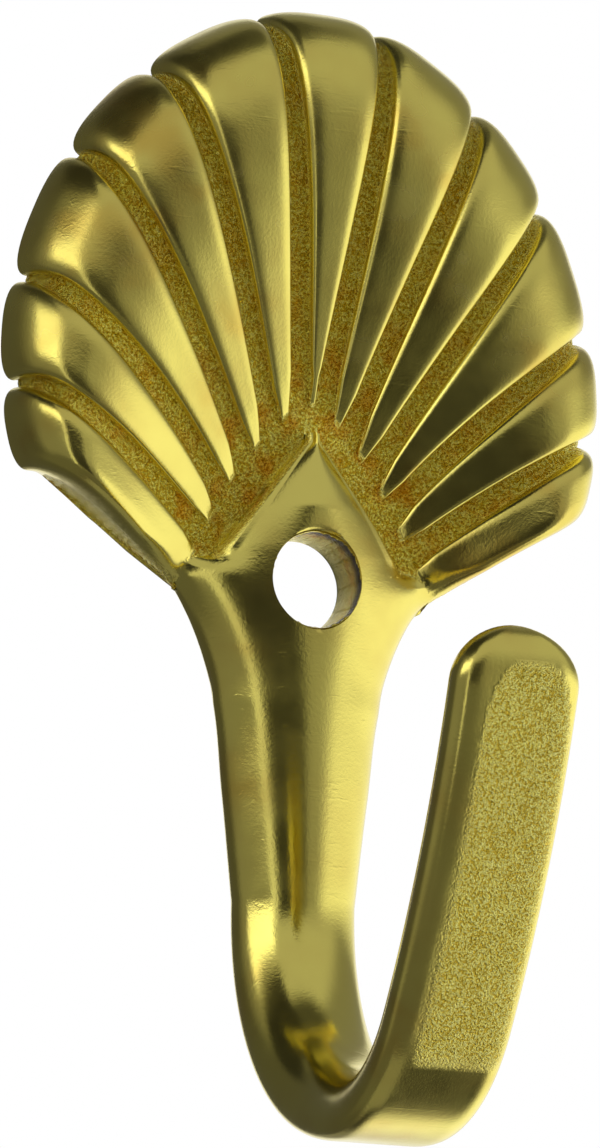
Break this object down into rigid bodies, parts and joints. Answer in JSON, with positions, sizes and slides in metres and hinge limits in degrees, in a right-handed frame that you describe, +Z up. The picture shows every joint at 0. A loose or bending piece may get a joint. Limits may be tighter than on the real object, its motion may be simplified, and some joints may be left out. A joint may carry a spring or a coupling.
{
  "type": "decorative wall hook",
  "caption": "Small one-piece cast brass wall hook: a ribbed scallop shell plate with a screw hole, a half-round stem and an upturned round-tipped hook.",
  "frame": {"origin": "centre of the screw hole on the wall face of the casting", "axes": "+Z up along the stem, -Y straight out of the wall towards the room, +X to the right as seen from the front"},
  "size_m": [0.0302, 0.0261, 0.0549],
  "materials": {
    "cast_brass": "polished on the lobes, arrowhead, stem and flanks; rough as cast in the grooves and on the hook's outer face"
  },
  "bodies": {
    "root": {"hook_casting": "cast_brass"}
  },
  "joints": []
}
